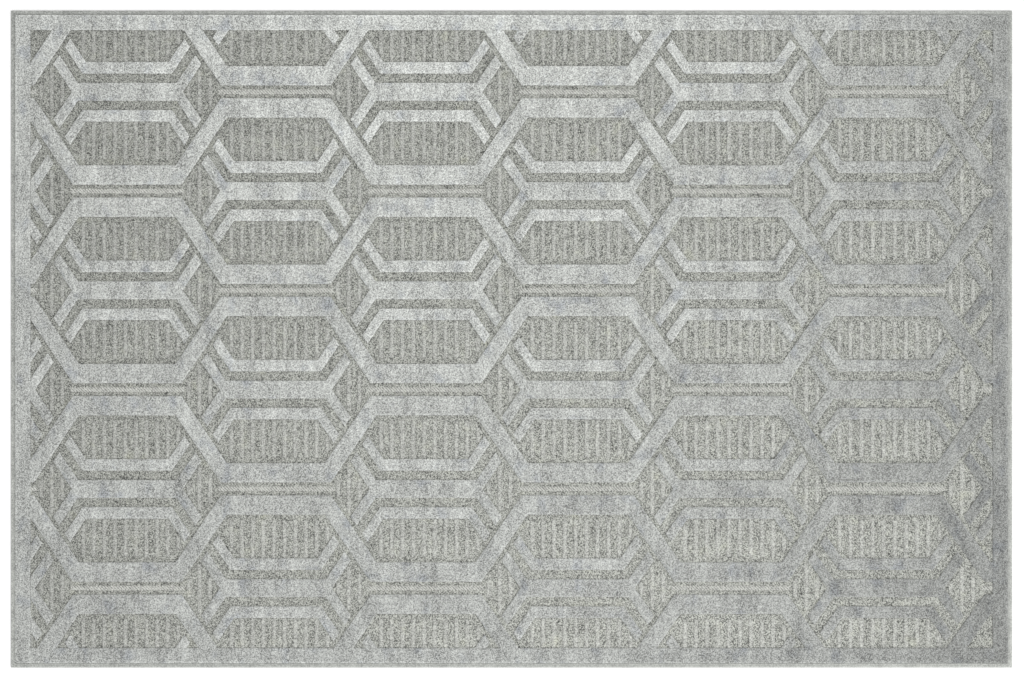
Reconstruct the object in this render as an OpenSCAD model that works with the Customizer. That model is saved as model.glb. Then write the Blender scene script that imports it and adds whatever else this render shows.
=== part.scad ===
// Area rug: a flat-woven ground with a raised cut pile in interlocking long hexagons.
// +X runs along the rug, +Y across it and +Z up. The origin is the centre of the face that lies
// on the floor.

/* [Overall size] */
// Length of the rug over its bindings
rug_l = 2438; // [2200:1:2700]
// Width of the rug over its bindings
rug_w = 1600; // [1450:1:1720]
// Height from the floor to the tips of the pile
rug_h = 9; // [8:0.5:12]

/* [Cloth layers] */
// Thickness of the weft shots that make the back
weft_t = 1.2; // [0.8:0.1:1.6]
// Thickness of the latex size that locks the yarns
size_t = 0.4; // [0.2:0.1:0.6]
// Thickness of the stuffer warp inside the cloth
stuffer_t = 1.4; // [1:0.1:1.6]
// Thickness of the woven face cloth
face_t = 1.6; // [1.2:0.1:2]

/* [Edges] */
// Width of the binding, seen from above
binding_w = 12; // [9:0.5:15]
// Height of the binding
binding_h = 6.4; // [5.8:0.2:7]
// Thickness of the yarn wrapped round the edge cord
binding_t = 1.6; // [1.2:0.1:2]
// Size of the cut corners along the binding
binding_chamfer = 1.2; // [0.6:0.1:1.4]
// Width of the raised frame inside the bindings
border_w = 36; // [20:1:60]

/* [Pattern grid] */
// Distance between neighbouring columns of hexagons, in the middle of the rug
column_pitch = 369.2; // [360:0.2:380]
// How much wider each column is than the one on its left, as the weave opens
column_growth = 3.8; // [0:0.2:5]
// Height of one hexagon from channel to channel
row_pitch = 483.2; // [475:0.2:500]
// Shift of the pattern along the rug, from its middle
shift_x = -24.4; // [-40:0.2:40]
// Shift of the pattern across the rug, from its middle
shift_y = -2; // [-10:0.2:10]

/* [Hexagon lattice] */
// Width of the channel between two lattice strips
channel_w = 31.4; // [26:0.2:36]
// Width of a strip where it runs along the rug
band_w = 47; // [40:0.5:52]
// Width of a strip where it runs aslant
slant_w = 38.4; // [32:0.2:42]
// Half the length of a strip's straight run, on its middle line
band_half_l = 128.4; // [118:0.2:134]

/* [Fork bars] */
// Width of the bar across the middle of a hexagon
bar_w = 43.4; // [36:0.2:46]
// Distance from the hexagon's middle to where the fork opens
bar_half_l = 123.6; // [116:0.2:128]
// Width of a fork's prong
prong_w = 24.4; // [18:0.2:26]
// Rise of the prongs and bracket arms for each unit along the rug
arm_slope = 1.45; // [1.38:0.01:1.5]
// Gap between the tips and the lattice
tip_gap = 11; // [8:0.5:14]

/* [Brackets] */
// Distance from the hexagon's middle line to a bracket
bracket_y = 44.4; // [42:0.2:48]
// Width of a bracket's bar
bracket_w = 28; // [22:0.2:30]
// Half the length of a bracket's outer edge
bracket_half_l = 111.6; // [104:0.2:116]
// Width of a bracket's arm
bracket_arm_w = 22.4; // [18:0.2:24]

/* [Woven ribs and cords] */
// Ribs in one column pitch
ribs_per_column = 14; // [10:1:18]
// Width of a rib
rib_w = 10.4; // [6:0.2:12]
// Height of the ribs above the face cloth
rib_h = 1.2; // [0.8:0.1:1.6]
// Plain cloth left between a rib's end and the lattice
rib_gap = 12.4; // [8:0.2:16]
// Distance from a hexagon's middle to the rib beside it
rib_shift = -4.4; // [-8:0.2:8]
// Width of the twill cord along a channel
cord_w = 11.6; // [8:0.2:14]
// Height of the twill cord above the face cloth
cord_h = 1.4; // [0.8:0.1:1.8]
// Half the length of a twill cord
cord_half_l = 142; // [120:1:146]

/* [Hidden] */
STRIPS = 7;

pile_colour = "silver";
cloth_colour = "#9b9d97";
edge_colour = "#b4b7b4";
jute_colour = "#a8977a";

// The cloth inside the bindings, and the heights of its layers
cloth_l = rug_l - 2 * binding_w;
cloth_w = rug_w - 2 * binding_w;
size_z = weft_t;
stuffer_z = size_z + size_t;
face_z = stuffer_z + stuffer_t;
pile_z = face_z + face_t;
pile_h = rug_h - pile_z;

// The field inside the raised frame
field_l = cloth_l - 2 * border_w;
field_w = cloth_w - 2 * border_w;

// Columns have half-integer places and rows half-integer levels. A hexagon sits where the sum of
// the two indices is odd, and a channel where it is even.
half_row = row_pitch / 2;
first_column = floor((-field_l / 2 - shift_x) / column_pitch) - 1;
last_column = ceil((field_l / 2 - shift_x) / column_pitch);
columns = [first_column:last_column];
first_level = -floor(STRIPS / 2) - 1;
levels = [first_level:first_level + STRIPS];
function even(n) = n % 2 == 0;
function column_x(c) = (c + 0.5) * column_pitch;
function level_y(m) = shift_y + (m + 0.5) * half_row;

// Where a point of the evenly spaced pattern comes to lie along the rug, as the weave opens
function opened(x) = shift_x + x + column_growth / 2 * pow(x / column_pitch, 2);

// A hexagon whose middle lies outside the field both ways leaves only bare cloth in its corner
function in_corner(c, m) =
    abs(opened(column_x(c))) > field_l / 2 && abs(level_y(m)) > field_w / 2;
function hexagon_at(c, m) = !even(c + m) && !in_corner(c, m);

// The slanted runs of the lattice. The mitre is how far an edge's corner lies from the corner of
// the strip's middle line.
strip_offset = (channel_w + band_w) / 2;
slant_slope = (half_row - 2 * strip_offset) / (column_pitch - 2 * band_half_l);
slant_angle = atan(slant_slope);
mitre = (slant_w / cos(slant_angle) - band_w) / 2 / slant_slope;

// The lattice's edge seen from inside a hexagon, as a height for a distance along the rug
inner_x = band_half_l - mitre;
inner_y = half_row - channel_w / 2 - band_w;
function lattice_edge(x) = inner_y - slant_slope * max(0, x - inner_x);

// The fork's outer edge starts at the bar's corner, and its inner edge on the middle line
prong_in_x = bar_half_l - bar_w / 2 / arm_slope + prong_w / sin(atan(arm_slope));

// The bracket's inner edge
bracket_top = bracket_y + bracket_w;
bracket_in_x = bracket_half_l + bracket_w / arm_slope - bracket_arm_w / sin(atan(arm_slope));
function bracket_edge(x) = bracket_top + arm_slope * max(0, x - bracket_in_x);

// Where an arm's edge, which rises from (x, y), meets the line that all tips are cut along
tip_y = inner_y - tip_gap / cos(slant_angle);
function tip(x, y) =
    let (t = (tip_y - y + slant_slope * (inner_x - x)) / (arm_slope + slant_slope))
    [x + t, y + arm_slope * t];

rib_pitch = column_pitch / ribs_per_column;
shortest_rib = 2 * rib_w;
rib_steps = [-ribs_per_column:ribs_per_column];

// Point lists: in the other order, mirrored below the middle line, and an outline's left half,
// which closes its right half
function reversed(points) = [for (i = [len(points) - 1:-1:0]) points[i]];
function below(points) = [for (p = points) [p[0], -p[1]]];
function left_half(points) = [for (p = reversed(points)) [-p[0], p[1]]];

// The outline of a side of the rug between two distances from its outer face, on Y = 0, with both
// ends cut at 45 degrees
module mitred_side(length, near, far) {
    polygon([
        [near - length / 2, near], [length / 2 - near, near],
        [length / 2 - far, far], [far - length / 2, far]
    ]);
}

// Each places a side drawn that way
module at_front() translate([0, -rug_w / 2, 0]) children();
module at_back() rotate(180) translate([0, -rug_w / 2, 0]) children();
module at_right() rotate(90) translate([0, -rug_l / 2, 0]) children();
module at_left() rotate(-90) translate([0, -rug_l / 2, 0]) children();

module layer(z, thickness) {
    translate([-cloth_l / 2, -cloth_w / 2, z]) cube([cloth_l, cloth_w, thickness]);
}

// Keeps what lies inside the raised frame
module in_field() {
    intersection() {
        children();
        translate([-field_l / 2, -field_w / 2, pile_z]) cube([field_l, field_w, pile_h]);
    }
}

module weft_back() color(jute_colour) layer(0, weft_t);
module latex_size() color("ivory") layer(size_z, size_t);
module stuffer_warp() color("tan") layer(stuffer_z, stuffer_t);
module face_cloth() color(cloth_colour) layer(face_z, face_t);

// One side of the raised frame, mitred at both ends, for a side of the rug of this length
module border_pile(length) {
    color(pile_colour) translate([0, 0, pile_z]) linear_extrude(pile_h)
        mitred_side(length, binding_w, binding_w + border_w);
}

// A lattice strip swings between the channels of two levels. One edge of it, from left to right,
// lies band_w / 2 above (side = 1) or below (side = -1) its middle line.
function strip_edge(m, side) = [
    for (c = columns) let (
        low = even(c + m),
        y = low ? level_y(m) + strip_offset : level_y(m + 1) - strip_offset,
        reach = band_half_l + (low ? -1 : 1) * side * mitre
    ) for (end = [-1, 1]) [opened(column_x(c) + end * reach), y + side * band_w / 2]
];

module lattice_strip(number) {
    m = first_level + number - 1;
    color(pile_colour) in_field() translate([0, 0, pile_z]) linear_extrude(pile_h)
        polygon(concat(strip_edge(m, -1), reversed(strip_edge(m, 1))));
}

// Outlines about a hexagon's middle
prong = [[bar_half_l, bar_w / 2], tip(bar_half_l, bar_w / 2), tip(prong_in_x, 0)];
fork_right = concat(below(prong), [[prong_in_x, 0]], reversed(prong));
fork_bar = concat(fork_right, left_half(fork_right));
bracket_right = [
    [bracket_half_l, bracket_y], tip(bracket_half_l, bracket_y),
    tip(bracket_in_x, bracket_top), [bracket_in_x, bracket_top]
];
bracket = concat(bracket_right, left_half(bracket_right));

// Raises pile on an outline in every hexagon
module pile_in_hexagons(outline) {
    color(pile_colour) in_field() for (c = columns, m = levels) if (hexagon_at(c, m))
        translate([0, level_y(m), pile_z]) linear_extrude(pile_h)
            polygon([for (p = outline) [opened(column_x(c) + p[0]), p[1]]]);
}

module fork_bar_pile() pile_in_hexagons(fork_bar);
module bracket_pile() {
    pile_in_hexagons(bracket);
    pile_in_hexagons(below(bracket));
}

// A rib or cord from x1 to x2 in the evenly spaced pattern, cut off at the raised frame, and left
// out where too little of it is in the field
module float_yarn(x1, x2, y1, y2, height) {
    left = max(opened(x1), -field_l / 2);
    right = min(opened(x2), field_l / 2);
    front = max(y1, -field_w / 2);
    back = min(y2, field_w / 2);
    if (right - left > rib_w / 2 && back - front > rib_w / 2)
        translate([left, front, pile_z]) cube([right - left, back - front, height]);
}

// Ribs fill the panel between each bracket and the lattice
module panel_ribs() {
    color(cloth_colour) for (c = columns, m = levels, n = rib_steps) if (hexagon_at(c, m)) {
        x = rib_shift + n * rib_pitch;
        far = abs(x) + rib_w / 2;
        start = bracket_edge(far);
        end = lattice_edge(far) - rib_gap;
        middle = column_x(c) + x;
        if (end - start > shortest_rib) for (side = [-1, 1])
            float_yarn(middle - rib_w / 2, middle + rib_w / 2,
                level_y(m) + (side > 0 ? start : -end), level_y(m) + (side > 0 ? end : -start), rib_h);
    }
}

// Ribs fill the diamond between each fork and the lattice
module diamond_ribs() {
    color(cloth_colour) for (c = columns, m = levels, n = rib_steps) if (hexagon_at(c, m)) {
        x = rib_shift + n * rib_pitch;
        near = abs(x) - rib_w / 2;
        reach = min(arm_slope * (near - prong_in_x), lattice_edge(near + rib_w) - rib_gap);
        middle = column_x(c) + x;
        if (2 * reach > shortest_rib)
            float_yarn(middle - rib_w / 2, middle + rib_w / 2,
                level_y(m) - reach, level_y(m) + reach, rib_h);
    }
}

module twill_cords() {
    color(cloth_colour) for (c = columns, m = levels) if (even(c + m))
        float_yarn(column_x(c) - cord_half_l, column_x(c) + cord_half_l,
            level_y(m) - cord_w / 2, level_y(m) + cord_w / 2, cord_h);
}

// A rectangle with cut corners, from the origin
module cut_rectangle(width, height, cut) {
    polygon([
        [cut, 0], [width - cut, 0], [width, cut], [width, height - cut],
        [width - cut, height], [cut, height], [0, height - cut], [0, cut]
    ]);
}

// A section drawn across one side of the rug, run along it and mitred at both ends
module edge_side(length) {
    intersection() {
        rotate([90, 0, 90]) linear_extrude(length, center = true) children();
        linear_extrude(binding_h) mitred_side(length, 0, binding_w);
    }
}

module core_section() {
    translate([binding_t, binding_t]) cut_rectangle(
        binding_w - 2 * binding_t, binding_h - 2 * binding_t, binding_chamfer / 2);
}

module binding(length) {
    color(edge_colour) edge_side(length) difference() {
        cut_rectangle(binding_w, binding_h, binding_chamfer);
        core_section();
    }
}
module edge_cord(length) {
    color("linen") edge_side(length) core_section();
}

weft_back();
latex_size();
stuffer_warp();
face_cloth();
at_left() border_pile(rug_w);  // border_pile_left
at_right() border_pile(rug_w);  // border_pile_right
at_front() border_pile(rug_l);  // border_pile_front
at_back() border_pile(rug_l);  // border_pile_back
for (i = [1:STRIPS])
    lattice_strip(i);
fork_bar_pile();
bracket_pile();
panel_ribs();
diamond_ribs();
twill_cords();
at_left() binding(rug_w);  // binding_left
at_right() binding(rug_w);  // binding_right
at_front() binding(rug_l);  // binding_front
at_back() binding(rug_l);  // binding_back
at_left() edge_cord(rug_w);  // edge_cord_left
at_right() edge_cord(rug_w);  // edge_cord_right
at_front() edge_cord(rug_l);  // edge_cord_front
at_back() edge_cord(rug_l);  // edge_cord_back
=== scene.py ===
"""Area rug: the visual model of the flat-woven rug with raised cut pile, around its CAD frame."""
import math

import bpy
import numpy as np
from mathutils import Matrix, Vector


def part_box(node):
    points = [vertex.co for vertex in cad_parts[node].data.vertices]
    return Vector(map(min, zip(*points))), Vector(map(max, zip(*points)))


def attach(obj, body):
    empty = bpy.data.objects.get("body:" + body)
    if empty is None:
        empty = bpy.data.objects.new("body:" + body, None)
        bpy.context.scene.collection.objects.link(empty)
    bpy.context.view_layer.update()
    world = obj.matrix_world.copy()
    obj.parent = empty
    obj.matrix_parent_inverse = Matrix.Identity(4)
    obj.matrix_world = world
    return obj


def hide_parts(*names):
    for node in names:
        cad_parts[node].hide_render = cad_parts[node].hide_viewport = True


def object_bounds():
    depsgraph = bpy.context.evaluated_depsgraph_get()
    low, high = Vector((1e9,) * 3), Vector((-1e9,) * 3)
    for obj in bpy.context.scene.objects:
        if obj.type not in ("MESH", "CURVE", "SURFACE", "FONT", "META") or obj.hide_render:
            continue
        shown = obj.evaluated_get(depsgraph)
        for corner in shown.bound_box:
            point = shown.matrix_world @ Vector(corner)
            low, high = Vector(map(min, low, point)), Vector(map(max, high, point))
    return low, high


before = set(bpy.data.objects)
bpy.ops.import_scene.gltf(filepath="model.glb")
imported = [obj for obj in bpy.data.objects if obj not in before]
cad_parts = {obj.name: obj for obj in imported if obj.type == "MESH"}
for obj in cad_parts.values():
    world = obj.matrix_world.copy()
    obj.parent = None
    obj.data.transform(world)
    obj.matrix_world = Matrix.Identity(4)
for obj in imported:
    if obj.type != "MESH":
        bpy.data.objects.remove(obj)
cad_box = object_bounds()

MM = 0.001
ROOT = "root"  # the rug's one body
PICK = 7.3 * MM  # the weft's repeat: from one line of twill, or one tie on a rib, to the next
rng = np.random.default_rng(20)

SIDES = ("left", "right", "front", "back")
STRIPS = sorted(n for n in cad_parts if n.startswith("lattice_strip_"))
FRAME_NET = STRIPS + [f"border_pile_{side}" for side in SIDES]


def span(node):
    """The lowest and highest corner of a CAD node as arrays."""
    low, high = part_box(node)
    return np.array(low), np.array(high)


rug_low, rug_high = np.array(cad_box[0]), np.array(cad_box[1])
HALF_L, HALF_W = (rug_high - rug_low)[:2] / 2
PILE_ROOT, PILE_TIP = (corner[2] for corner in span("fork_bar_pile"))
GROUND_TOP = float(span("face_cloth")[1][2])


# ---------------------------------------------------------------- camera, light and floor

def make_camera():
    """Looks straight down at the rug, with the white margin that a catalogue picture has."""
    margin = 1.0217  # width of the view over the length of the rug
    off_centre = (1 * MM, -1 * MM)
    data = bpy.data.cameras.new("camera")
    data.lens, data.sensor_width = 85, 36
    camera = bpy.data.objects.new("camera", data)
    bpy.context.scene.collection.objects.link(camera)
    distance = margin * 2 * HALF_L * data.lens / data.sensor_width
    camera.location = (*off_centre, PILE_TIP + distance)
    data.clip_end = 100
    bpy.context.scene.camera = camera


def make_stage():
    """A pale floor, a soft key light from the lower right of the picture, and even fill."""
    floor_gap = 0.2 * MM
    bpy.ops.mesh.primitive_plane_add(size=60, location=(0, 0, -floor_gap))
    floor = bpy.context.object
    floor.name = "floor"
    look = bpy.data.materials.new("floor")
    look.use_nodes = True
    shader = look.node_tree.nodes["Principled BSDF"]
    shader.inputs["Base Color"].default_value = (0.93, 0.93, 0.93, 1)
    shader.inputs["Roughness"].default_value = 0.9
    shader.inputs["Specular IOR Level"].default_value = 0.1
    floor.data.materials.append(look)

    key = bpy.data.lights.new("key", "AREA")
    key.shape, key.size, key.energy = "DISK", 10.0, 860
    lamp = bpy.data.objects.new("key", key)
    lamp.location = (8.0, -6.5, 10.0)
    lamp.rotation_euler = (-lamp.location).to_track_quat("-Z", "Y").to_euler()
    bpy.context.scene.collection.objects.link(lamp)

    world = bpy.data.worlds.new("studio")
    world.use_nodes = True
    sky = world.node_tree.nodes["Background"]
    sky.inputs["Color"].default_value = (1.0, 1.0, 1.0, 1)
    sky.inputs["Strength"].default_value = 1.06
    bpy.context.scene.world = world
    bpy.context.scene.view_settings.view_transform = "Standard"


# ---------------------------------------------------------------- materials

class Look:
    """One cloth material: a Principled shader with helpers that add the nodes around it."""

    def __init__(self, name, colour, sheen, specular=0.2):
        self.material = bpy.data.materials.new(name)
        self.material.use_nodes = True
        self.tree = self.material.node_tree
        self.shader = self.tree.nodes["Principled BSDF"]
        self.shader.inputs["Sheen Weight"].default_value = sheen
        self.shader.inputs["Sheen Roughness"].default_value = 0.5
        self.shader.inputs["Specular IOR Level"].default_value = specular
        self.place = self.tree.nodes.new("ShaderNodeTexCoord").outputs["Object"]
        split = self.tree.nodes.new("ShaderNodeSeparateXYZ")
        self.tree.links.new(self.place, split.inputs[0])
        self.x, self.y, self.z = split.outputs
        self.colour = colour  # linear, as a tuple or the socket that gives it

    def plug(self, socket, value):
        """Links value to the socket, or sets it there if it is a number or colour."""
        if isinstance(value, bpy.types.NodeSocket):
            self.tree.links.new(value, socket)
        else:
            socket.default_value = value

    def math(self, operation, a, b=0.0):
        """The result of one Math node."""
        node = self.tree.nodes.new("ShaderNodeMath")
        node.operation = operation
        self.plug(node.inputs[0], a)
        self.plug(node.inputs[1], b)
        return node.outputs[0]

    def product(self, first, *others):
        """The product of two or more values."""
        for other in others:
            first = self.math("MULTIPLY", first, other)
        return first

    def rug_place(self):
        """The place along and across the rug, each from -1 to 1, and the first one squared."""
        along = self.math("DIVIDE", self.x, float(HALF_L))
        across = self.math("DIVIDE", self.y, float(HALF_W))
        return along, across, self.product(along, along)

    def texture(self, kind, size, flat):
        """A texture node with features of the given size in mm, in X and Y only if flat."""
        scaled = self.tree.nodes.new("ShaderNodeVectorMath")
        scaled.operation = "MULTIPLY"
        self.plug(scaled.inputs[0], self.place)
        scaled.inputs[1].default_value = [1000 / s for s in size]
        node = self.tree.nodes.new(kind)
        node.inputs["Scale"].default_value = 1
        self.plug(node.inputs["Vector"], scaled.outputs[0])
        dimensions = "voronoi_dimensions" if kind == "ShaderNodeTexVoronoi" else "noise_dimensions"
        setattr(node, dimensions, "2D" if flat else "3D")
        return node

    def cells(self, size, flat=True):
        """A random number from -1 to 1 for each cell, and the distance from the cell's middle."""
        node = self.texture("ShaderNodeTexVoronoi", size, flat)
        node.inputs["Randomness"].default_value = 0.45
        split = self.tree.nodes.new("ShaderNodeSeparateColor")
        self.tree.links.new(node.outputs["Color"], split.inputs[0])
        shade = self.math("SUBTRACT", self.product(split.outputs[0], 2.0), 1.0)
        return shade, node.outputs["Distance"]

    def noise(self, size, detail, flat=True):
        """Smooth noise from about -1 to 1."""
        stretch = 3.2  # makes up for how seldom the noise leaves its middle
        node = self.texture("ShaderNodeTexNoise", size, flat)
        node.inputs["Detail"].default_value = detail
        return self.product(self.math("SUBTRACT", node.outputs[0], 0.5), stretch)

    def measure(self, name):
        """A number that the mesh holds for each of its points."""
        node = self.tree.nodes.new("ShaderNodeAttribute")
        node.attribute_name = name
        return node.outputs["Fac"]

    def ramp(self, value, low, high):
        """0 below low, 1 above high and smooth between them."""
        node = self.tree.nodes.new("ShaderNodeMapRange")
        node.interpolation_type = "SMOOTHSTEP"
        self.plug(node.inputs["Value"], value)
        node.inputs["From Min"].default_value = low
        node.inputs["From Max"].default_value = high
        return node.outputs["Result"]

    def total(self, *terms):
        """The sum of (value, weight) pairs, and 1."""
        out = 1.0
        for value, weight in terms:
            out = self.math("ADD", self.product(value, weight), out)
        return out

    def yarn_ends(self, grain, off_centre, unevenness):
        """The height of rounded yarn ends, some of them higher than others."""
        return self.math("ADD", self.product(grain, unevenness), self.product(off_centre, -0.8))

    def tint(self, amount, colour):
        """Blends the look's plain colour so far towards another one."""
        node = self.tree.nodes.new("ShaderNodeMix")
        node.data_type = "RGBA"
        factor, first, second = (node.inputs[k] for k in (0, 6, 7))
        self.plug(factor, amount)
        first.default_value = (*self.colour, 1)
        second.default_value = (*colour, 1)
        self.colour = node.outputs[2]

    def finish(self, tone, height, bump_mm, roughness=(0.9, 0.06)):
        """Multiplies the colour by the tone, and adds the bump and the roughness."""
        scale = self.tree.nodes.new("ShaderNodeVectorMath")
        scale.operation = "SCALE"
        self.plug(scale.inputs[0], self.colour)
        self.plug(scale.inputs["Scale"], tone)
        self.tree.links.new(scale.outputs[0], self.shader.inputs["Base Color"])
        bump = self.tree.nodes.new("ShaderNodeBump")
        bump.inputs["Distance"].default_value = bump_mm * MM
        bump.inputs["Strength"].default_value = 1.0
        self.plug(bump.inputs["Height"], height)
        self.tree.links.new(bump.outputs[0], self.shader.inputs["Normal"])
        middle, spread = roughness
        rough = self.math("ADD", self.product(height, spread), middle)
        self.tree.links.new(rough, self.shader.inputs["Roughness"])
        return self.material


def linear(*levels):
    """sRGB levels from 11 to 255 as a linear colour."""
    return tuple(((v / 255 + 0.055) / 1.055) ** 2.4 for v in levels)


FINE_GRAIN = (1.8, 1.8, 1.8)  # size of a yarn end in mm


def pile_look(name, level):
    """Cut pile: silvery tufts, brushed patches with a bluish cast, streaks across the rug, painted
    sheen and shade over the whole rug, and a painted highlight along its edges.
    """
    look = Look(name, linear(level, level + 2, level - 1), sheen=0.5)
    grain, off_centre = look.cells(FINE_GRAIN)
    clump = look.noise((9, 11, 9), 2)
    streak = look.noise((12, 80, 30), 2)
    brushed = look.noise((55, 150, 60), 3)
    bruise = look.ramp(look.noise((48, 60, 60), 3), 0.1, 1.0)
    look.tint(look.product(bruise, 0.75), linear(level - 26, level - 22, level - 18))
    along, across, far = look.rug_place()
    # Painted sheen and shade: the pile darker towards both ends, most at the right end, and darker
    # towards the front.
    painted_sheen_gradient = look.total((along, -0.08), (far, -0.26), (across, 0.145),
                     (look.product(far, across), -0.08),
                     (look.product(far, far, along), -0.07))
    # The rim measure paints a highlight along the pile's edges, where the outermost tufts would
    # catch the light.
    splayed = look.measure("rim")
    cloth = look.total((grain, 0.60), (clump, 0.06), (streak, 0.12), (brushed, 0.22),
                       (splayed, 0.18))
    return look.finish(look.product(painted_sheen_gradient, cloth), look.yarn_ends(grain, off_centre, 0.5), 0.3)


def ground_look(name, levels, grain_share, crest_highlight=0.0):
    """Flat weave: heathered grey-green yarn, lighter by a painted highlight on the crests where it
    floats over the ground, and lighter towards the right and the front by painted light.
    """
    look = Look(name, linear(*levels), sheen=0.15)
    grain, off_centre = look.cells(FINE_GRAIN)
    clump = look.noise((10, 22, 14), 2)
    patch = look.noise((45, 45, 40), 2)
    red, green, blue = levels
    look.tint(look.ramp(patch, 0.3, 1.5), linear(red - 3, green - 3, blue - 9))
    along, across, far = look.rug_place()
    # Painted light: the ground lighter towards the right and the front, and darker towards both
    # ends.
    painted_light_gradient = look.total((along, 0.08), (far, -0.10), (across, -0.085),
                      (look.product(far, across), 0.06))
    # Painted highlight on the crest of a float, over flanks that stay darker as painted shade.
    crest = look.ramp(look.z, GROUND_TOP + 0.1 * MM, GROUND_TOP + 1.1 * MM)
    cloth = look.total((grain, grain_share), (clump, 0.05), (patch, 0.12), (crest, crest_highlight))
    return look.finish(look.product(painted_light_gradient, cloth), look.yarn_ends(grain, off_centre, 0.4), 0.22)


def twill_look():
    """The cord along a channel: fine diagonal twill lines."""
    look = Look("twill_cord", linear(165, 166, 161), sheen=0.15)
    grain, off_centre = look.cells((2.3, 2.3, 2.3))
    diagonal = look.math("ADD", look.x, look.y)
    wave = look.math("SINE", look.product(diagonal, 2 * math.pi / PICK))
    tone = look.total((grain, 0.34), (wave, 0.30))
    return look.finish(tone, look.math("ADD", look.product(wave, 0.4), off_centre), 0.3)


def binding_look():
    """The serged edge: shiny yarn wrapped over the cord, with longer lighter and darker runs, and
    painted light that makes it lighter towards the right and the front.
    """
    look = Look("binding_yarn", linear(159, 161, 157), sheen=0.2, specular=0.4)
    grain, _ = look.cells((2.2, 2.2, 3), flat=False)
    run = look.noise((38, 38, 200), 2, flat=False)
    along, across, _ = look.rug_place()
    # The along and across terms are painted light: the binding lighter towards the right and the
    # front.
    tone = look.total((grain, 0.30), (run, 0.20), (along, 0.09), (across, -0.095))
    return look.finish(tone, grain, 0.2, (0.7, 0.08))


def yarn_look(name, levels, size, rough=0.9):
    """Plain yarn for the layers under the face."""
    look = Look(name, linear(*levels), sheen=0.1)
    grain, _ = look.cells(size, flat=False)
    slub = look.noise([4 * s for s in size], 2, flat=False)
    return look.finish(look.total((grain, 0.16), (slub, 0.10)), grain, 0.2, (rough, 0.05))


# ---------------------------------------------------------------- outlines from the CAD frame

def top_loops(node):
    """The closed outlines of a node's flat top, each an array of corners, anticlockwise."""
    micron = 1e-6
    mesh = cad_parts[node].data
    corners = np.empty(len(mesh.vertices) * 3)
    mesh.vertices.foreach_get("co", corners)
    corners = corners.reshape(-1, 3)
    spots, merged = np.unique(np.round(corners / micron).astype(int), axis=0, return_inverse=True)
    merged = merged.reshape(-1)
    mesh.calc_loop_triangles()
    triangles = np.empty(len(mesh.loop_triangles) * 3, int)
    mesh.loop_triangles.foreach_get("vertices", triangles)
    triangles = merged[triangles.reshape(-1, 3)]
    top = spots[:, 2] >= spots[:, 2].max() - 2
    triangles = triangles[top[triangles].all(1)]
    places = spots[:, :2] * micron
    a, b, c = (places[triangles[:, k]] for k in range(3))
    turn = np.cross(b - a, c - a)
    triangles = np.where(turn[:, None] > 0, triangles, triangles[:, ::-1])
    edges = np.concatenate([triangles[:, [0, 1]], triangles[:, [1, 2]], triangles[:, [2, 0]]])
    return [places[chain] for chain in chains(unpaired(edges, len(places)))]


def box_loop(node):
    """The rectangle that a node covers, as an outline."""
    (x0, y0, _), (x1, y1, _) = span(node)
    return np.array([(x0, y0), (x1, y0), (x1, y1), (x0, y1)])


def unpaired(edges, count):
    """The directed edges between count points that have no partner the other way round."""
    key, back = (edges[:, k] * count + edges[:, 1 - k] for k in (0, 1))
    return edges[~np.isin(key, back)]


def chains(edges):
    """The closed chains that directed edges make, each as an array of points' numbers."""
    after = {}
    for a, b in edges.tolist():
        after.setdefault(a, []).append(b)
    out = []
    while after:
        start = next(iter(after))
        loop, at = [start], after[start].pop()
        while at != start:
            loop.append(at)
            following = after[at].pop()
            if not after[at]:
                del after[at]
            at = following
        if not after[start]:
            del after[start]
        out.append(np.array(loop))
    return out


def edges_of(loop):
    """The edges of an outline as pairs of corners."""
    return np.stack([loop, np.roll(loop, -1, 0)], 1)


def nearest(edges, points):
    """The distance to the nearest edge, the nearest place on it and its outward direction.

    Where there are no edges, the distance is 1 m."""
    best = np.full(len(points), 1.0)
    place, outward = points.copy(), np.zeros_like(points)
    for a, b in edges:
        run = b - a
        share = np.clip((points - a) @ run / (run @ run), 0, 1)
        foot = a + share[:, None] * run
        gap = np.hypot(*(points - foot).T)
        closer = gap < best
        best[closer], place[closer] = gap[closer], foot[closer]
        outward[closer] = (run[1], -run[0]) / np.hypot(*run)
    return best, place, outward


def inside(loop, points):
    """Whether each point is inside an outline."""
    never_zero = 1e-18
    out = np.zeros(len(points), bool)
    for a, b in edges_of(loop):
        crosses = (a[1] > points[:, 1]) != (b[1] > points[:, 1])
        if crosses.any():
            x = a[0] + (points[:, 1] - a[1]) / (b[1] - a[1] + never_zero) * (b[0] - a[0])
            out ^= crosses & (points[:, 0] < x)
    return out


def edges_against(loop, others, touching):
    """The parts of an outline that lie against the others, or those that don't."""
    probe, longest_part, out = 0.7 * MM, 4 * MM, []
    for a, b in edges_of(loop):
        run = b - a
        length = np.hypot(*run)
        outward = np.array([run[1], -run[0]]) / length
        parts = max(1, int(length / longest_part))
        middles = (np.arange(parts) + 0.5) / parts
        points = a + middles[:, None] * run + outward * probe
        shared = np.zeros(parts, bool)
        for other in others:
            shared |= inside(other, points)
        start = 0
        while start < parts:
            end = start
            while end < parts and shared[end] == shared[start]:
                end += 1
            if shared[start] == touching:
                out.append((a + run * start / parts, a + run * end / parts))
            start = end
    return np.array(out).reshape(-1, 2, 2)


# ---------------------------------------------------------------- mesh helpers

SHARP_ANGLE = math.radians(62)  # a fold sharper than this shows as an edge


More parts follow.
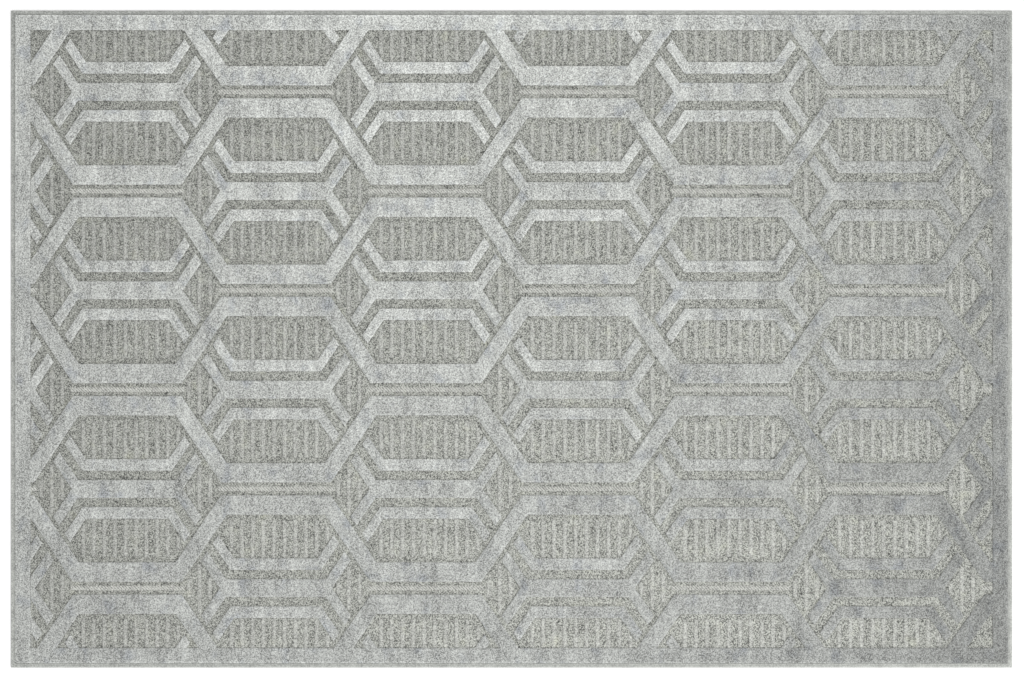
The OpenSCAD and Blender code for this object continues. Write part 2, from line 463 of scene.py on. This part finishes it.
def add_piece(name, vertices, faces, look, slot, *nodes):
    """Makes a piece that rides on the rug's body and stands for the CAD nodes."""
    mesh = bpy.data.meshes.new(name)
    mesh.from_pydata(np.asarray(vertices, float).tolist(), [],
                     [f.tolist() if hasattr(f, "tolist") else list(f) for f in faces])
    mesh.validate()
    mesh.shade_smooth()
    mesh.set_sharp_from_angle(angle=SHARP_ANGLE)
    mesh.materials.append(look)
    piece = bpy.data.objects.new(name, mesh)
    bpy.context.scene.collection.objects.link(piece)
    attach(piece, ROOT)
    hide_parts(*nodes)
    return piece


def joined(parts):
    """Several (vertices, faces) pairs as one."""
    vertices, faces, base = [], [], 0
    for points, polygons in parts:
        vertices.append(points)
        faces.extend(np.asarray(p) + base for p in polygons)
        base += len(points)
    return np.concatenate(vertices), faces


def grid(low, high, cells):
    """Points over a rectangle, the number of each one, and the square cells between them."""
    axes = [np.linspace(low[k], high[k], cells[k] + 1) for k in (0, 1)]
    points = np.stack(np.meshgrid(*axes, indexing="ij"), -1).reshape(-1, 2)
    index = np.arange(len(points)).reshape(cells[0] + 1, cells[1] + 1)
    quads = np.stack([index[:-1, :-1], index[1:, :-1], index[1:, 1:], index[:-1, 1:]], -1)
    return points, index, quads.reshape(-1, 4)


def averaged(points, edges, moving):
    """Moves some of the points to the middle of their neighbours."""
    total, count = np.zeros_like(points), np.zeros(len(points))
    for a, b in (edges.T, edges.T[::-1]):
        np.add.at(total, a, points[b])
        np.add.at(count, a, 1)
    out = points.copy()
    out[moving] = total[moving] / count[moving, None]
    return out


def swell(points):
    """The slow rise and fall of a cloth that has been rolled up, from -1 to 1."""
    x, y = points[:, 0], points[:, 1]
    return (np.sin(23 * x + 2.1) * np.sin(17 * y + 0.4) + np.sin(47 * x - 31 * y + 1.3)) / 2


# ---------------------------------------------------------------- cut pile

PILE_STEP = 2.8 * MM  # distance from one modelled tuft to the next
SHOULDER = 3.2 * MM   # how far in from its edge the pile reaches its full height
EDGE_SHARE = 0.55     # height of the outermost tufts, as a share of the pile
BOUND_SHOULDER = 1.6 * MM  # the same two where the pile stands against the binding
BOUND_SHARE = 0.85
LAP = 0.5 * MM          # how far the pile leans over the binding, or into the pile beside it
TUFT_RISE = 0.22 * MM   # how unevenly the tufts are cut
TUFT_SPLAY = 0.55 * MM  # how far the outermost tufts stray from the outline
PILE_SWELL = 0.2 * MM   # how far the whole pile rises and falls
SUNK = 0.4 * MM         # how far the tufts are rooted in the cloth
RIM_HIGHLIGHT_WIDTH = 4.4 * MM    # width of the painted highlight along the pile's edges, where the tufts lean out and catch the light
BOUND_HIGHLIGHT = 1.5         # how much stronger the painted edge highlight is along the binding than elsewhere


def rounded(depth, shoulder, edge_share):
    """The height of a rounded shoulder at this depth inside its edge, up to 1."""
    share = np.clip(depth / shoulder, 0, 1)
    return edge_share + (1 - edge_share) * np.sqrt(1 - (1 - share) ** 2)


def cells_over(loop):
    """A grid of points and square cells that covers an outline."""
    low, high = loop.min(0), loop.max(0)
    points, _, quads = grid(low, high, np.ceil((high - low) / PILE_STEP).astype(int))
    kept = inside(loop, points) | (nearest(edges_of(loop), points)[0] < 0.45 * PILE_STEP)
    used, quads = np.unique(quads[kept[quads].all(1)], return_inverse=True)
    return points[used], quads.reshape(-1, 4)


def fitted(points, quads, loop):
    """Moves a grid's rim onto the outline, and evens out the points near it.

    Returns the points and the rim's directed edges."""
    outline = edges_of(loop)
    near = nearest(outline, points)[0] < 2.2 * PILE_STEP
    sides = np.concatenate([quads[:, [k, (k + 1) % 4]] for k in range(4)])
    rim = unpaired(sides, len(points))
    rim_points = np.unique(rim)
    near_rim = np.setdiff1d(np.flatnonzero(near), rim_points)
    points[rim_points] = nearest(outline, points[rim_points])[1]
    for _ in range(2):
        points = averaged(points, rim, rim_points)
        points[rim_points] = nearest(outline, points[rim_points])[1]
        for corner in loop:
            closest = rim_points[np.argmin(np.hypot(*(points[rim_points] - corner).T))]
            points[closest] = corner
        points = averaged(points, sides, near_rim)
    return points, rim


def tufted(loop, piles=(), bindings=()):
    """One island of cut pile over an outline: rounded shoulders, uneven tufts, closed below.

    It runs on into the piles beside it, and leans over the bindings. Returns its vertices, its
    faces and how much of the painted edge highlight each vertex has."""
    points, quads = cells_over(loop)
    points, rim = fitted(points, quads, loop)
    rim_points = np.unique(rim)
    on_rim = np.isin(np.arange(len(points)), rim_points)

    free = edges_against(loop, [*piles, *bindings], False)
    bound = edges_against(loop, bindings, True)
    depth = nearest(free, points)[0]
    rise = np.minimum(rounded(depth, SHOULDER, EDGE_SHARE),
                      rounded(nearest(bound, points)[0], BOUND_SHOULDER, BOUND_SHARE))
    height = PILE_ROOT + (PILE_TIP - PILE_ROOT) * rise
    height += TUFT_RISE * rng.uniform(-1, 1, len(points)) + PILE_SWELL * (swell(points) - 1)

    feet = points[rim_points]
    splayed = on_rim & (depth < LAP)
    points[splayed] += TUFT_SPLAY * rng.uniform(-1, 1, (splayed.sum(), 2))
    leaning = on_rim & (depth > LAP)
    points[leaning] += LAP * nearest(edges_of(loop), points[leaning])[2]
    # How much painted highlight each point gets: strongest at the edge, and stronger along the
    # binding.
    highlight_share = np.maximum(1 - depth / RIM_HIGHLIGHT_WIDTH,
                           BOUND_HIGHLIGHT * (1 - nearest(bound, points)[0] / RIM_HIGHLIGHT_WIDTH))

    below = np.full(len(points), -1)
    below[rim_points] = len(points) + np.arange(len(rim_points))
    walls = np.stack([rim[:, 1], rim[:, 0], below[rim[:, 0]], below[rim[:, 1]]], 1)
    floor = [below[chain[::-1]] for chain in chains(rim)]
    roots = np.column_stack([feet, np.full(len(feet), PILE_ROOT - SUNK)])
    vertices = np.concatenate([np.column_stack([points, height]), roots])
    highlight_share = np.append(np.maximum(highlight_share, 0), np.zeros(len(feet)))
    return vertices, [*quads, *walls, *floor], highlight_share


def add_pile(node, look, islands):
    """One piece from islands of tufts, whose mesh holds each vertex's share of the painted edge
    highlight.
    """
    vertices, faces = joined([island[:2] for island in islands])
    piece = add_piece(f"{node}_tufts", vertices, faces, look, "pile", node)
    rim = piece.data.attributes.new("rim", "FLOAT", "POINT")
    rim.data.foreach_set("value", np.concatenate([island[2] for island in islands]))


def make_pile():
    """The raised frame and the lattice, which run into one another, then the forks and brackets."""
    # The bracket pile is the same pile set lighter, a painted sheen where its smaller tufts stand
    # more upright.
    lattice_look, *motif_looks = [pile_look(f"pile_{name}", level) for name, level in
                                  (("lattice", 167), ("fork", 167), ("bracket", 172))]
    net = {node: top_loops(node) for node in FRAME_NET}
    bindings = [box_loop(f"binding_{side}") for side in SIDES]
    for node, loops in net.items():
        piles = [loop for name, group in net.items() if name != node for loop in group]
        add_pile(node, lattice_look, [tufted(loop, piles, bindings) for loop in loops])
    for node, look in zip(("fork_bar_pile", "bracket_pile"), motif_looks):
        add_pile(node, look, [tufted(loop) for loop in top_loops(node)])


# ---------------------------------------------------------------- ribs and twill cords

def rings_to_mesh(rings):
    """Closes a row of rings of points into a tube with an end face at each end."""
    rows, around = rings.shape[:2]
    index = np.arange(rows * around).reshape(rows, around)
    turned = np.roll(index, -1, 1)
    quads = np.stack([index[:-1], turned[:-1], turned[1:], index[1:]], -1).reshape(-1, 4)
    return rings.reshape(-1, 3), [*quads, index[0][::-1], index[-1]]


ROOTED = 0.3 * MM         # how far the long edges of ribs and cords lie in the cloth
RIB_SPREAD = 1.18         # width of a rib's yarns, as a share of its outline
RIB_ENDS = (0.45, 0.9)    # height of a rib at its end and next to it, as a share
RIB_TIED = 0.8            # height of a rib where the weft ties it down, as a share
CORD_STEP = 1.65 * MM     # distance between two sections of a twill cord
CORD_TAPER = 3 * MM       # length over which a cord rises from half its height at each end


def rib(loop, base, top):
    """A raised float across the rug: a low rounded ridge of a few yarns, uneven and flecked."""
    (left, low), (right, high) = loop.min(0), loop.max(0)
    rows = max(2, round((high - low) / PICK)) * 2 + 1
    angles = np.linspace(0, math.pi, 7)
    rings = []
    for row, y in enumerate(np.linspace(low, high, rows)):
        from_end = min(row, rows - 1 - row)
        taper = (*RIB_ENDS, 1.0)[min(from_end, 2)] * (1.0 if row % 2 else RIB_TIED)
        half = (right - left) / 2 * (RIB_SPREAD + 0.1 * rng.uniform(-1, 1))
        middle = (left + right) / 2 + 0.35 * MM * rng.uniform(-1, 1)
        crest = (top - base) * taper * (1 + 0.14 * rng.uniform(-1, 1))
        z = base + crest * np.sin(angles) ** 1.3
        z[[0, -1]] = base - ROOTED
        x = middle + half * np.cos(angles)
        rings.append(np.column_stack([x, np.full_like(x, y), z]))
    return rings_to_mesh(np.array(rings))


def make_ribs(look):
    """One piece for the ribs of each node."""
    for node in ("panel_ribs", "diamond_ribs"):
        low, high = span(node)
        vertices, faces = joined([rib(loop, low[2], high[2]) for loop in top_loops(node)])
        add_piece(f"{node}_floats", vertices, faces, look, "face_cloth", node)


def twill_cord(loop, base, top):
    """A flat cord along a channel, with diagonal ridges where its twill lines run."""
    (left, low), (right, high) = loop.min(0), loop.max(0)
    across = np.linspace(-1, 1, 7)
    y = (high + low) / 2 + (high - low) / 2 * across
    dome = np.sqrt(np.clip(1.02 - across ** 2, 0, 1))
    rings = []
    for x in np.linspace(left, right, round((right - left) / CORD_STEP) + 1):
        wave = np.sin(2 * math.pi * (x + y) / PICK)
        taper = 0.5 + 0.5 * min(1.0, min(x - left, right - x) / CORD_TAPER)
        z = base + (top - base) * taper * dome * (0.85 + 0.15 * wave)
        z[[0, -1]] = base - ROOTED
        rings.append(np.column_stack([np.full_like(y, x), y, z])[::-1])
    return rings_to_mesh(np.array(rings))


def make_twill_cords():
    """One piece for the cords of all channels."""
    low, high = span("twill_cords")
    vertices, faces = joined([twill_cord(loop, low[2], high[2])
                              for loop in top_loops("twill_cords")])
    add_piece("twill_cords_woven", vertices, faces, twill_look(), "face_cloth", "twill_cords")


# ---------------------------------------------------------------- cloth layers

def layer_mesh(node, cells, relief, downward=False):
    """A closed sheet that fills a node's box: relief gives how far its upper face, or its lower
    one, stands back from the box at each point, and the other face is level."""
    low, high = span(node)
    points, index, quads = grid(low, high, cells)
    rim = np.concatenate([index[:, 0], index[-1, 1:], index[-2::-1, -1], index[0, -2:0:-1]])
    behind = len(points) + np.arange(len(rim))
    walls = np.stack([np.roll(rim, -1), rim, behind, np.roll(behind, -1)], 1)
    height, level = (low[2] + relief(points), high[2]) if downward \
        else (high[2] - relief(points), low[2])
    vertices = np.concatenate([np.column_stack([points, height]),
                               np.column_stack([points[rim], np.full(len(rim), level)])])
    faces = [*quads, *walls, behind[::-1]]
    return vertices, [face[::-1] for face in faces] if downward else faces


def yarn_rows(pitch, rise, axis):
    """The relief of parallel round yarns that lie side by side."""
    def relief(points):
        return rise * (1 - np.abs(np.sin(math.pi * points[:, axis] / pitch)))
    return relief


def make_layers(ground):
    """The face cloth and the layers under it, each a laid sheet of cloth."""
    def woven(points):
        """The face cloth's slow waves and uneven yarns."""
        return 0.08 * MM * (1 - swell(points * 3)) + 0.10 * MM * rng.uniform(0, 1, len(points))

    def smeared(points):
        """The slow waves of the latex film."""
        return 0.05 * MM * (1 - swell(points * 4))

    stuffer = yarn_look("stuffer_yarn", (206, 203, 192), (20, 2.2, 3))
    jute = yarn_look("jute_yarn", (166, 148, 118), (2.4, 18, 3))
    sheets = [  # node, kind, material, cells along and across, relief and what it rests on
        ("face_cloth", "weave", ground, (384, 248), woven, "stuffer_warp_yarns"),
        ("stuffer_warp", "yarns", stuffer, (12, 640), yarn_rows(9.9 * MM, 0.3 * MM, 1),
         "latex_size_film"),
        ("weft_back", "yarns", jute, (970, 8), yarn_rows(10.1 * MM, 0.35 * MM, 0), "floor"),
    ]
    for node, kind, look, cells, relief, support in sheets:
        vertices, faces = layer_mesh(node, cells, relief, downward=support == "floor")
        piece = add_piece(f"{node}_{kind}", vertices, faces, look, node, node)
    vertices, faces = layer_mesh("latex_size", (60, 40), smeared)
    latex = yarn_look("latex", (214, 208, 190), (14, 14, 8), 0.5)
    add_piece("latex_size_film", vertices, faces, latex, "latex_size", "latex_size")


# ---------------------------------------------------------------- bound edges

WRAP_PITCH = 4.0 * MM  # from one turn of the wrapping yarn to the next
CORD_TURN = 30 * MM    # length in which the strands of an edge cord turn once
EDGE_STEP = 5 * MM     # distance between two sections of an edge cord

# The binding's section as (share of the width from the outer edge, share of the height)
SECTION = [(0.10, 0.0), (0.0, 0.22), (0.0, 0.62), (0.08, 0.86), (0.26, 1.0), (0.50, 0.97),
           (0.60, 0.82), (0.72, 0.96), (0.88, 0.90), (1.0, 0.70), (1.0, 0.12), (0.90, 0.0)]


def side_frame(node):
    """The outward direction of an edge of the rug, the direction along it, and the width and
    height of the node there."""
    side = node.rsplit("_", 1)[1]
    outward = {"left": (-1, 0), "right": (1, 0), "front": (0, -1), "back": (0, 1)}[side]
    outward = np.array(outward, float)
    low, high = span(node)
    x, y, height = high - low
    along = np.array([-outward[1], outward[0]])
    return outward, along, np.array([np.abs(outward) @ (x, y), height])


def swept(node, step, section_at):
    """A section carried along one edge of the rug, mitred at the corners.

    section_at gives its points, as (inset from the rug's outline, height), for a distance along
    the edge from its middle."""
    outward, along, _ = side_frame(node)
    middle = (rug_low[:2] + rug_high[:2]) / 2
    reach = float(np.abs(outward) @ (HALF_L, HALF_W))
    half = float(np.abs(along) @ (HALF_L, HALF_W))
    rings = []
    for share in np.linspace(-1, 1, round(2 * half / step) + 1):
        inset, height = section_at(share * half).T
        flat = middle + np.outer(reach - inset, outward) + np.outer(share * (half - inset), along)
        rings.append(np.column_stack([flat, height]))
    return rings_to_mesh(np.array(rings))


def make_sleeve(side, look):
    """The yarn wrapped over one edge."""
    node = f"binding_{side}"
    size = side_frame(node)[2]
    section, centre = np.array(SECTION) * size, size / 2

    def wrapped(run):
        """Draws the sleeve in between two turns of the yarn."""
        turn = abs(math.sin(math.pi * run / WRAP_PITCH))
        shrink = 1 - 0.055 * (1 - turn) - 0.02 * rng.uniform(0, 1)
        points = centre + (section - centre) * shrink
        points[:, 1] = np.maximum(points[:, 1], 0)
        return points

    vertices, faces = swept(node, WRAP_PITCH / 3, wrapped)
    add_piece(f"{node}_wraps", vertices, faces, look, "binding", node)


def make_edge_cord(side, look):
    """The three-strand cord inside one sleeve, in the middle of it."""
    node = f"edge_cord_{side}"
    size = side_frame(node)[2]
    middle = side_frame(f"binding_{side}")[2] / 2
    angles = -np.linspace(0, 2 * math.pi, 12, endpoint=False)

    def twisted(run):
        """Turns the three strands as they run along the edge."""
        lobes = 0.88 + 0.12 * np.cos(3 * (angles - 2 * math.pi * run / CORD_TURN))
        ring = np.column_stack([np.cos(angles), np.sin(angles)]) * lobes[:, None]
        return middle + ring * size / 2

    vertices, faces = swept(node, EDGE_STEP, twisted)
    add_piece(f"{node}_strands", vertices, faces, look, "edge_cord", node)


def make_edges():
    """The sleeve and the cord of each side."""
    sleeve_look = binding_look()
    cord_look = yarn_look("edge_cord", (204, 202, 194), (3, 3, 3))
    for side in SIDES:
        make_sleeve(side, sleeve_look)
        make_edge_cord(side, cord_look)


# ---------------------------------------------------------------- the whole rug

make_camera()
make_stage()
make_layers(ground_look("ground_weave", (145, 146.5, 141), 0.86))
# The floats' darker level is painted shade on their flanks, and their crests get a painted
# highlight.
make_ribs(ground_look("rib_floats", (132, 133, 129), 0.80, 0.62))
make_twill_cords()
make_pile()
make_edges()
